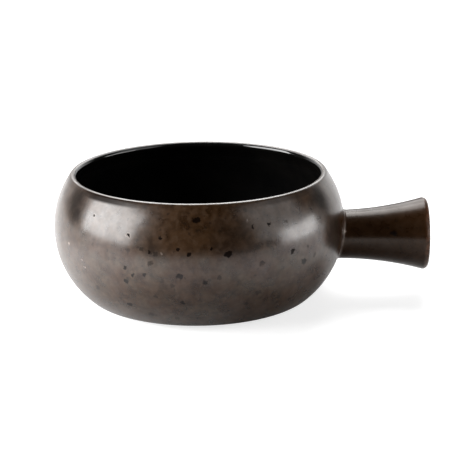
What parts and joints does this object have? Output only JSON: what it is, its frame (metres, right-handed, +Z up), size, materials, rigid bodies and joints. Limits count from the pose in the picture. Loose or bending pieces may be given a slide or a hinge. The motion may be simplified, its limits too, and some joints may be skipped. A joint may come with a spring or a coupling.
{
  "type": "soup bowl with handle",
  "caption": "Round-bellied glazed stoneware soup bowl with a flared stick handle, metallic brown outside and gloss black inside, standing on a bare foot ring.",
  "frame": {"origin": "centre of the foot ring, on the table", "axes": "+X along the handle, away from the bowl; +Z up, along the bowl's axis"},
  "size_m": [0.1803, 0.14, 0.0622],
  "materials": {
    "stoneware": "bare fired clay, matte",
    "slip": "luting slip, glazed over with the outside glaze",
    "bronze_glaze": "satin-gloss metallic brown glaze with dark specks",
    "black_glaze": "gloss black glaze"
  },
  "bodies": {
    "root": {"bowl_body": "stoneware", "handle_body": "stoneware", "slip_joint": "slip", "outside_glaze": "bronze_glaze", "handle_glaze": "bronze_glaze", "underside_glaze": "bronze_glaze", "inside_glaze": "black_glaze"}
  },
  "joints": []
}
